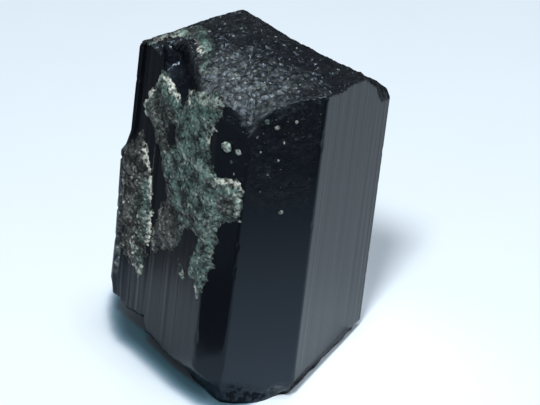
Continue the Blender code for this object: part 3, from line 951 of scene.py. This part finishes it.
# Pale lines along each patch: (one end, the other, width, strength).
MAIN_PALE = [
    ((8.1, 44.6), (10.6, 44.5), 0.45, 1.0), ((10.6, 44.5), (12.8, 43.2), 0.5, 1.0),
    ((15.6, 46.4), (16.4, 44.6), 0.5, 0.9), ((18.6, 46.6), (23.4, 48.4), 0.9, 0.35),
    ((4.0, 37.8), (5.8, 40.6), 0.5, 0.9), ((4.0, 37.4), (5.2, 35.8), 0.45, 0.8),
    ((6.4, 41.0), (7.6, 44.0), 0.4, 0.5), ((21.9, 41.0), (23.0, 44.0), 0.6, 0.5),
    ((24.2, 35.8), (26.1, 36.1), 0.45, 0.9), ((26.1, 36.1), (28.0, 36.7), 0.5, 0.9),
    ((28.2, 36.4), (28.0, 31.0), 0.35, 0.5), ((22.3, 16.4), (22.6, 15.0), 0.5, 0.8),
    ((17.0, 34.4), (16.6, 36.0), 0.35, 0.6), ((10.2, 16.6), (9.6, 18.8), 0.5, 0.4),
]
LEFT_PALE = [
    ((5.0, 30.4), (6.8, 27.4), 0.8, 1.1), ((7.0, 27.0), (7.6, 22.6), 0.6, 1.0),
    ((8.2, 21.0), (8.1, 15.0), 0.55, 0.9), ((5.2, 9.6), (6.4, 9.0), 0.6, 0.9),
    ((2.6, 10.6), (4.0, 10.8), 0.5, 0.6), ((1.2, 24.0), (1.4, 19.0), 0.3, 0.4),
]
TOP_PALE = [
    ((-13.2, 8.9), (-17.4, 6.0), 1.0, 0.9), ((-9.6, 10.2), (-12.8, 8.9), 0.9, 0.3),
    ((-10.2, 3.2), (-9.4, -0.6), 0.5, 0.8), ((-12.4, 6.6), (-16.0, 5.2), 0.5, 0.6),
]

# The patches, by the solid that each takes the place of. Gaps thins a patch along its border and
# deepens its painted shade, sunk is how far it is let into the stone, and speckle is the strength
# of its pale specks.
PATCHES = {
    "main_crust": dict(
        name="crust_on_left_face", outline=MAIN_OUTLINE, place=on_wall, seed=200, thickness=0.8,
        holes=MAIN_HOLES, pale_lines=MAIN_PALE, brown=main_brown),
    "left_crust": dict(
        name="crust_at_left_edge", outline=LEFT_OUTLINE, place=on_wall, seed=300, thickness=1.05,
        pale_lines=LEFT_PALE, brown=left_brown, sunk=0.4, speckle=0.8),
    "small_crust": dict(
        name="crust_blob", outline=SMALL_OUTLINE, place=on_wall, seed=400, thickness=0.9),
    "edge_crust": dict(
        name="crust_on_top_edge", outline=TOP_OUTLINE, place=on_top, seed=500, thickness=0.75,
        pale_lines=TOP_PALE, gaps=0.25),
}


# ================================================================ grains and flecks

def ball(rings, segments):
    """Directions of a closed ball of rings between two poles, and its faces."""
    down = np.pi * np.arange(1, rings + 1) / (rings + 1)
    turn = 2 * np.pi * np.arange(segments) / segments
    a, b = np.meshgrid(down, turn, indexing="ij")
    ways = np.stack([np.sin(a) * np.cos(b), np.sin(a) * np.sin(b), np.cos(a)], axis=-1)
    index = np.arange(rings * segments).reshape(rings, segments)
    index = np.concatenate([index, index[:, :1]], axis=1)
    quads = grid_quads(index)
    top, bottom = rings * segments, rings * segments + 1
    caps = np.concatenate([
        np.column_stack([np.full(segments, top), index[0, :-1], index[0, 1:]]),
        np.column_stack([np.full(segments, bottom), index[-1, 1:], index[-1, :-1]])])
    return np.concatenate([ways.reshape(-1, 3), [(0, 0, 1), (0, 0, -1)]]), quads, caps


def lumps(centres, normals, radii, rings, segments, seed, stretch=1.0):
    """Many rough lumps: balls whose radius is uneven by noise, stretched along the axes, and
    flattened along their normal."""
    ways, quads, caps = ball(rings, segments)
    at = ways[None] * 1.3 + np.arange(len(centres))[:, None, None] * 7.31
    uneven = 1.0 + 0.4 * layered(at[..., 0], at[..., 1], at[..., 2], seed, 2)
    arms = ways[None] * (radii[:, None] * uneven)[..., None] * stretch
    along = (arms * normals[:, None]).sum(axis=-1, keepdims=True)
    points = centres[:, None] + arms - 0.4 * along * normals[:, None]
    step = len(ways) * np.arange(len(centres))[:, None, None]
    return points.reshape(-1, 3), [(quads + step).reshape(-1, 4), (caps + step).reshape(-1, 3)]


def wall_spots(around, height):
    """Points on the finished wall, and its normals there."""
    flat = plan_point(around, -wall_depth(around, height))
    normals = NORMALS[side_of(around)]
    return np.column_stack([flat, height]), np.column_stack([normals, np.zeros(len(normals))])


def top_spots(x, y):
    """Points on the finished top, and upward normals."""
    around, share = plan_place(x, y)
    height = top_height(around, np.minimum(share, 1.0), x, y)
    return np.column_stack([x, y, height]), np.tile((0.0, 0.0, 1.0), (len(x), 1))


# Grains on the narrow front side: (distance around, height, radius).
GRAINS = {"upper_grain": (25.35, 41.85, 0.72), "lower_grain": (27.2, 41.6, 0.45)}
# Single flecks on the front walls, in the same form, and on the top: (x, y, radius).
WALL_FLECKS = [
    (26.2, 39.5, 0.24), (26.8, 37.7, 0.16), (22.2, 42.9, 0.3), (22.1, 44.7, 0.2),
    (30.9, 47.3, 0.42), (32.4, 46.4, 0.36), (31.8, 38.5, 0.2), (34.3, 32.3, 0.26),
    (28.6, 30.3, 0.2), (29.7, 44.6, 0.2), (33.6, 44.0, 0.22), (30.4, 42.2, 0.18),
    (35.0, 47.5, 0.24), (33.1, 41.0, 0.16), (31.0, 35.6, 0.16),
]
TOP_FLECKS = [
    (-1.3, -9.4, 0.3), (0.6, -9.4, 0.32), (3.1, -8.6, 0.3), (2.0, -4.2, 0.26), (-5.5, -2.0, 0.24),
    (-3.5, 7.4, 0.28), (1.5, 6.0, 0.22), (4.6, 4.0, 0.24), (10.5, -3.0, 0.24), (9.6, -5.0, 0.26),
]
# How many more are scattered over the top and the walls, and the least radius of each and how
# much is added to it at random.
SCATTER_TOP, SCATTER_WALL = 170, 60
LEAST_RADIUS, MORE_ON_TOP, MORE_ON_WALL = 0.05, 0.13, 0.12


def wall_chance(around, height):
    """Chance of a fleck on the walls: most where they are etched, towards the top."""
    return 0.9 * front_etching(around, height) * rise(height, 30.0, 50.0)


def top_chance(x, y):
    """Chance of a fleck on the top: most where the film and its painted light are, and none in the
    hollow or at the edge."""
    return (plan_place(x, y)[1] < 0.95) * (hollow(x, y) < 0.1) * (top_film_and_light(x, y) - 0.06) ** 2


def scattered(chance, count, rng, low, high):
    """Random places in a box, kept where a random number is under the chance there."""
    a, b = rng.uniform(low[0], high[0], 8 * count), rng.uniform(low[1], high[1], 8 * count)
    kept = rng.random(8 * count) < chance(a, b)
    return a[kept][:count], b[kept][:count]


def build_grain(name, material):
    """One rough grain, whose middle stands a quarter of its radius off the wall."""
    around, height, radius = GRAINS[name]
    spot, normal = wall_spots(np.array([around]), np.array([height]))
    middle = spot + 0.25 * radius * normal
    points, faces = lumps(middle, normal, np.array([radius]), 12, 20, len(name))
    pale = 0.3 + 0.4 * noise(*(points.T * 2.5), 151)
    return put_piece(name + "_of_crust", points, faces, {"pale": pale}, material)


def build_flecks(material):
    """All the smaller flecks as one piece: the single ones, and more scattered at random. The
    scattered ones on the walls are dull."""
    rng = np.random.default_rng(7)
    wall_u, wall_v, wall_r = (np.array(column) for column in zip(*WALL_FLECKS))
    more_u, more_v = scattered(wall_chance, SCATTER_WALL, rng,
                               (STARTS[FRONT_LEFT], 28.0), (STARTS[RIGHT], 50.0))
    fits = more_v < side_table(TOP_EDGE, more_u) - 0.4
    more_u, more_v = more_u[fits], more_v[fits]
    top_x, top_y, top_r = (np.array(column) for column in zip(*TOP_FLECKS))
    more_x, more_y = scattered(top_chance, SCATTER_TOP, rng, (-18.0, -15.0), (19.0, 15.0))
    on_walls = wall_spots(np.concatenate([wall_u, more_u]), np.concatenate([wall_v, more_v]))
    on_tops = top_spots(np.concatenate([top_x, more_x]), np.concatenate([top_y, more_y]))
    centres, normals = (np.concatenate(pair) for pair in zip(on_walls, on_tops))
    radii = np.concatenate([
        wall_r, LEAST_RADIUS + MORE_ON_WALL * rng.random(len(more_u)) ** 2,
        top_r, LEAST_RADIUS + MORE_ON_TOP * rng.random(len(more_x)) ** 2])
    stretch = rng.uniform(0.55, 1.45, (len(radii), 1, 3))
    points, faces = lumps(centres, normals, radii, 3, 6, 9, stretch)
    dull = np.zeros(len(radii))
    dull[len(wall_u):len(wall_u) + len(more_u)] = 1.0
    looks = {"pale": rng.uniform(0.0, 0.35, len(radii)) * (1.0 - dull),
             "brown": 0.3 + 0.7 * dull, "deep": 0.15 + 0.45 * dull}
    each = len(points) // len(radii)
    looks = {label: np.repeat(values, each) for label, values in looks.items()}
    return put_piece("crust_flecks", points, faces, looks, material)


# ================================================================ add-on classes

class CrystalSettings(PropertyGroup):
    """What a user would change on the prism."""
    body_colour: StringProperty(
        name="Body colour", description="Colour of the stone, as sRGB hex", default="#0b0e14")
    film_colour: StringProperty(
        name="Film colour", description="Colour of the etched film on the top", default="#626a6c")
    grain_colour: StringProperty(
        name="Grain colour", description="Colour of pale grains in the film", default="#b9bfb9")
    stain_colour: StringProperty(
        name="Stain colour", description="Colour of the brown patina", default="#251f20")
    face_roughness: FloatProperty(
        name="Face roughness", description="Roughness of the glassy faces", default=0.15,
        min=0.0, max=1.0, subtype="FACTOR")
    striation_depth: FloatProperty(
        name="Striation depth", description="Depth of the finest striations, in micrometres",
        default=22.0, min=0.0, max=200.0)


class CrustSettings(PropertyGroup):
    """What a user would change on the crust."""
    deep_green: StringProperty(name="Deep green", description="Darker green", default="#1c2f30")
    light_green: StringProperty(name="Light green", description="Lighter green", default="#60857d")
    deep_grey: StringProperty(name="Deep grey", description="Darker grey", default="#191b1e")
    light_grey: StringProperty(name="Light grey", description="Lighter grey", default="#4c5152")
    pearl: StringProperty(name="Pearl", description="Colour of pale scales", default="#d6ddd2")
    gap_colour: StringProperty(
        name="Gaps", description="Colour between the scales", default="#0e1213")
    cell: FloatProperty(
        name="Cell", description="Spacing of the crust's mesh, in mm", default=0.12, min=0.05,
        max=1.0)


class StageSettings(PropertyGroup):
    """What a user would change on the stage."""
    floor_colour: StringProperty(name="Floor", description="Floor colour", default="#e1edf6")
    key_power: FloatProperty(
        name="Key power", description="Key light in watts", default=3.2, min=0.0, unit="POWER")
    top_power: FloatProperty(
        name="Top power", description="Overhead light in watts", default=1.15, min=0.0,
        unit="POWER")
    foot_power: FloatProperty(
        name="Foot power", description="Light on the foot of the right face in watts", default=3.0,
        min=0.0, unit="POWER")
    air: FloatProperty(name="Air", description="Strength of the room's own light", default=0.10)
    lens: FloatProperty(name="Lens", description="Focal length in mm", default=250.0, unit="CAMERA")


class SPECIMEN_OT_crystal(Operator):
    """Make the black prism with its striations, etched top and broken base"""
    bl_idname = "specimen.crystal"
    bl_label = "Tourmaline prism"

    def execute(self, context):
        piece = build_crystal(context.scene.specimen_crystal)
        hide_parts("tourmaline_crystal")
        return {"FINISHED"}


class SPECIMEN_OT_crust(Operator):
    """Make the four patches of green crust, and the grains and flecks of it"""
    bl_idname = "specimen.crust"
    bl_label = "Mica crust"

    def execute(self, context):
        settings = context.scene.specimen_crust
        green = crust_material(settings)
        made = {solid: build_crust(settings, green, **patch) for solid, patch in PATCHES.items()}
        made.update({solid: build_grain(solid, green) for solid in GRAINS})
        for solid, piece in made.items():
            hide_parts(solid)
        build_flecks(green)
        return {"FINISHED"}


# The camera's angle above level, its place as place_camera counts it and its sensor, in mm.
CAMERA_ELEVATION = math.radians(31.98)
CAMERA_RIGHT, CAMERA_UP, CAMERA_DISTANCE = 5.54, 20.31, 567.6
SENSOR_WIDTH = 36.0
# The nearest and the farthest that the camera sees, in metres.
CLIP_START, CLIP_END = 0.01, 10.0


def place_camera(lens):
    """A long lens from the front, looking down. Its place is counted from the prism's own
    height 0, along the view's right and up and back towards the camera."""
    axes = np.array([
        (1.0, 0.0, 0.0),
        (0.0, math.sin(CAMERA_ELEVATION), math.cos(CAMERA_ELEVATION)),
        (0.0, -math.cos(CAMERA_ELEVATION), math.sin(CAMERA_ELEVATION)),
    ])
    spot = np.array([CAMERA_RIGHT, CAMERA_UP, CAMERA_DISTANCE]) @ axes
    spot = spot + SHIFT + (0.0, 0.0, AXIS_START)
    data = bpy.data.cameras.new("camera")
    data.lens = lens
    data.sensor_width = SENSOR_WIDTH
    data.clip_start = CLIP_START
    data.clip_end = CLIP_END
    camera = put_object("camera", data)
    camera.matrix_world = Matrix.LocRotScale([c * MM for c in spot], Matrix(axes.T.tolist()), None)
    bpy.context.scene.camera = camera


def put_light(name, spot, size, power, colour, target=(0.0, 0.0, 0.02), cone=None):
    """A square area light at a spot in metres, turned to face a target, or a soft-edged cone of
    light that glossy rays don't see."""
    data = bpy.data.lights.new(name, "SPOT" if cone else "AREA")
    lamp = put_object(name, data)
    if cone:
        data.spot_size, data.spot_blend, data.shadow_soft_size = cone, 1.0, size
        lamp.visible_glossy = False
    else:
        data.shape = "SQUARE"
        data.size = size
    data.energy = power
    data.color = linear(colour)[:3]
    away = np.array(spot) - np.array(target)
    away = away / np.linalg.norm(away)
    side = np.cross((0.0, 1.0, 0.0), away)
    side = side / np.linalg.norm(side)
    turned = np.column_stack([side, np.cross(away, side), away])
    lamp.matrix_world = Matrix.LocRotScale(spot, Matrix(turned.tolist()), None)


def hide_from(piece, *ways):
    """Hide a stage piece from kinds of rays."""
    for way in ways:
        setattr(piece, "visible_" + way, False)


def rectangle(left, near, right, far):
    """Corners of a rectangle, anticlockwise from above."""
    return (left, near), (right, near), (right, far), (left, far)


def put_sheet(name, corners, height, material):
    """A level stage sheet over four corners in metres, anticlockwise from above: a grid of points
    blended from the corners."""
    c = np.array([(x, y, height) for x, y in corners])
    t = np.linspace(0.0, 1.0, 5)
    a, b = (side[..., None] for side in np.meshgrid(t, t, indexing="ij"))
    points = (1 - a) * (1 - b) * c[0] + a * (1 - b) * c[1] + a * b * c[2] + (1 - a) * b * c[3]
    piece = put_mesh(name, points, [grid_quads(np.arange(25).reshape(5, 5))])
    piece.data.materials.append(material)
    return piece


# The paper floor thins out to nothing between these distances from the middle, in metres.
FLOOR_FADE = (0.12, 0.30)


def paper_material(settings):
    """Matt coated paper: smooth and pale. It thins out with distance, so that the bright backdrop
    takes over before the lamps' light falls off."""
    made, t = new_material("pale_paper")
    place = node(t, "ShaderNodeTexCoord").outputs["Object"]
    fibres = node(t, "ShaderNodeTexNoise", place, Scale=60.0, Detail=3.0)
    shade = node(t, "ShaderNodeMapRange", fibres, 0.3, 0.7, 0.55, 0.62)
    paper = node(t, "ShaderNodeBsdfPrincipled", Base_Color=settings.floor_colour, Roughness=shade)
    away = node(t, "ShaderNodeVectorMath", place, operation="LENGTH").outputs["Value"]
    gone = node(t, "ShaderNodeMapRange", away, *FLOOR_FADE, interpolation_type="SMOOTHSTEP")
    clear = node(t, "ShaderNodeBsdfTransparent")
    node(t, "ShaderNodeOutputMaterial", node(t, "ShaderNodeMixShader", gone, paper, clear))
    return made


CARD_HEIGHT = 0.0004
# Black floor cards that only reflections see, so that each face mirrors its own dark as a painted
# dark reflection: their corners, and their density as (y, other y, density there, density at the
# other), in metres.
# The front face mirrors the front card, the narrow front-left face the corner card and the
# front left card, and the left and right faces the cards at those sides. The broken band along
# the foot of the right face mirrors the base card.
CARDS = {
    "front_card": (rectangle(-0.0070, -0.5, 0.4, -0.016), (-0.016, -0.08, 0.02, 0.97)),
    "corner_card": (rectangle(-0.0154, -0.5, -0.0070, -0.015), (-0.016, -0.08, 0.45, 0.97)),
    "front_left_card": (rectangle(-0.0385, -0.5, -0.0154, -0.0172),
                        (-0.0172, -0.0225, 0.5, 0.96)),
    "left_card": (rectangle(-0.5, -0.5, -0.0385, 0.4), (0.4, -0.5, 0.9, 0.9)),
    "near_left_card": (rectangle(-0.0385, -0.0172, -0.0154, 0.4), (0.4, -0.5, 0.46, 0.46)),
    "right_card": (rectangle(0.006, -0.016, 0.4, 0.4), (-0.016, 0.03, 0.34, 0.46)),
    "base_card": (((0.0058, -0.0129), (0.0080, -0.0143), (0.0174, 0.0023), (0.0152, 0.0036)),
                  (0.4, -0.5, 0.95, 0.95)),
}


def card_material(name, density):
    """Black card, thinned to let through the share of the rays that its density leaves."""
    made, t = new_material(name)
    place = node(t, "ShaderNodeSeparateXYZ", node(t, "ShaderNodeTexCoord").outputs["Object"])
    share = node(t, "ShaderNodeMapRange", place.outputs["Y"], *density)
    black = node(t, "ShaderNodeBsdfDiffuse", "#050607")
    clear = node(t, "ShaderNodeBsdfTransparent")
    node(t, "ShaderNodeOutputMaterial", node(t, "ShaderNodeMixShader", share, clear, black))
    return made


def put_card(name, corners, density):
    """One of the floor cards, just above the floor."""
    piece = put_sheet(name, corners, CARD_HEIGHT, card_material(name, density))
    hide_from(piece, "camera", "diffuse", "shadow", "transmission", "volume_scatter")


# Outline on the ground, beside the raised left side, of where the contact card lets half of the
# light through, and the linear colour it lets through by distance inside the outline.
CONTACT_OUTLINE = [
    (-18.2, 15.0), (-19.0, 12.4), (-19.2, 8.8), (-18.9, 6.0), (-18.5, 3.0), (-17.6, 0.4),
    (-15.6, -2.2), (-11.9, -7.9), (-9.2, -12.1), (-5.6, -16.4), (-2.6, -18.2), (0.6, -18.6),
    (2.6, -16.8), (3.6, -14.0), (-2.0, -9.0), (-8.0, 2.0), (-12.0, 15.5),
]
CONTACT_PASSES = [
    (-1.9, (1.0, 1.0, 1.0)), (-1.1, (0.95, 0.98, 0.985)), (-0.6, (0.82, 0.86, 0.9)),
    (-0.2, (0.6, 0.64, 0.7)), (0.2, (0.33, 0.41, 0.46)), (0.7, (0.14, 0.24, 0.29)),
    (1.2, (0.055, 0.13, 0.165)), (2.2, (0.0, 0.045, 0.06)),
]
# The contact card's range of x and of y, and how far apart its points are.
CONTACT_X, CONTACT_Y, CONTACT_STEP = (-23.5, 7.5), (-22.0, 20.0), 0.4


def put_contact_card():
    """A graded card that only lamps see, just above the floor along the raised left side, which
    keeps their light from the floor beside it."""
    x, y = np.meshgrid(*(np.arange(*ends, CONTACT_STEP) for ends in (CONTACT_X, CONTACT_Y)),
                       indexing="ij")
    inside = inside_distance(x, y, CONTACT_OUTLINE)
    passes = [curve([(at, rgb[i]) for at, rgb in CONTACT_PASSES], inside) for i in range(3)]
    passes = np.stack([*passes, np.ones(x.shape)], axis=-1)
    points = np.stack([x + SHIFT[0], y + SHIFT[1], np.full(x.shape, CARD_HEIGHT / MM)], axis=-1)
    made, t = new_material("contact_card")
    share = node(t, "ShaderNodeAttribute", attribute_name="passes").outputs["Color"]
    node(t, "ShaderNodeOutputMaterial", node(t, "ShaderNodeBsdfTransparent", share))
    piece = put_mesh("contact_card", points * MM, [grid_quads(np.arange(x.size).reshape(x.shape))])
    layer = piece.data.attributes.new("passes", "FLOAT_COLOR", "POINT")
    layer.data.foreach_set("color", passes.astype(np.float32).ravel())
    piece.data.materials.append(made)
    hide_from(piece, "camera", "diffuse", "glossy", "transmission", "volume_scatter")


# Where the lamps are, in metres, and how wide. The foot lamp is a faint cone that lights the
# floor under the overhanging rim of the right face, which the other two leave grey.
KEY_SPOT, KEY_SIZE = (-0.045, -0.30, 0.52), 0.10
TOP_SPOT, TOP_SIZE = (0.07, 0.0, 0.50), 0.12
FOOT_SPOT, FOOT_SIZE = (0.239, -0.125, 0.306), 0.012
FOOT_TARGET, FOOT_CONE = (0.0125, -0.006, 0.0), math.radians(6.3)
# Half the floor's width in metres, and how bright the backdrop is.
FLOOR_HALF, BACKDROP_STRENGTH = 2.0, 0.9


def light_air(scene, air):
    """A dim room behind a bright backdrop, which only the camera sees."""
    world = bpy.data.worlds.new("studio_air")
    world.use_nodes = True
    t = world.node_tree
    t.nodes.clear()
    seen = node(t, "ShaderNodeLightPath").outputs["Is Camera Ray"]
    strength = node(t, "ShaderNodeMapRange", seen, 0.0, 1.0, air, BACKDROP_STRENGTH)
    node(t, "ShaderNodeOutputWorld", node(t, "ShaderNodeBackground", "#e8f1fa", strength))
    scene.world = world


class SPECIMEN_OT_stage(Operator):
    """Make the floor, the soft lights, the dark cards and the camera"""
    bl_idname = "specimen.stage"
    bl_label = "Studio stage"

    def execute(self, context):
        settings = context.scene.specimen_stage
        corners = rectangle(-FLOOR_HALF, -FLOOR_HALF, FLOOR_HALF, FLOOR_HALF)
        put_sheet("floor", corners, 0.0, paper_material(settings))
        for name, (corners, density) in CARDS.items():
            put_card(name, corners, density)
        put_contact_card()
        put_light("key", KEY_SPOT, KEY_SIZE, settings.key_power, "#ffffff")
        put_light("overhead", TOP_SPOT, TOP_SIZE, settings.top_power, "#f6faff")
        put_light("foot", FOOT_SPOT, FOOT_SIZE, settings.foot_power, "#f4f9ff",
                  FOOT_TARGET, FOOT_CONE)
        light_air(context.scene, settings.air)
        context.scene.view_settings.view_transform = "Standard"
        place_camera(settings.lens)
        return {"FINISHED"}


class SPECIMEN_PT_panel(Panel):
    """The specimen's buttons, in the 3D view's sidebar."""
    bl_idname = "SPECIMEN_PT_panel"
    bl_label = "Tourmaline crystal"
    bl_space_type = "VIEW_3D"
    bl_region_type = "UI"
    bl_category = "Mineral"

    def draw(self, context):
        for operator in OPERATORS:
            self.layout.operator(operator.bl_idname)


SETTINGS = {
    "specimen_crystal": CrystalSettings,
    "specimen_crust": CrustSettings,
    "specimen_stage": StageSettings,
}
OPERATORS = (SPECIMEN_OT_stage, SPECIMEN_OT_crystal, SPECIMEN_OT_crust)


def register():
    for group in SETTINGS.values():
        bpy.utils.register_class(group)
    for name, group in SETTINGS.items():
        setattr(bpy.types.Scene, name, PointerProperty(type=group))
    for made in (*OPERATORS, SPECIMEN_PT_panel):
        bpy.utils.register_class(made)


def unregister():
    for made in (SPECIMEN_PT_panel, *reversed(OPERATORS)):
        bpy.utils.unregister_class(made)
    for name, group in SETTINGS.items():
        delattr(bpy.types.Scene, name)
        bpy.utils.unregister_class(group)


def main():
    register()
    bpy.ops.specimen.stage()
    bpy.ops.specimen.crystal()
    bpy.ops.specimen.crust()


if __name__ == "__main__":
    main()
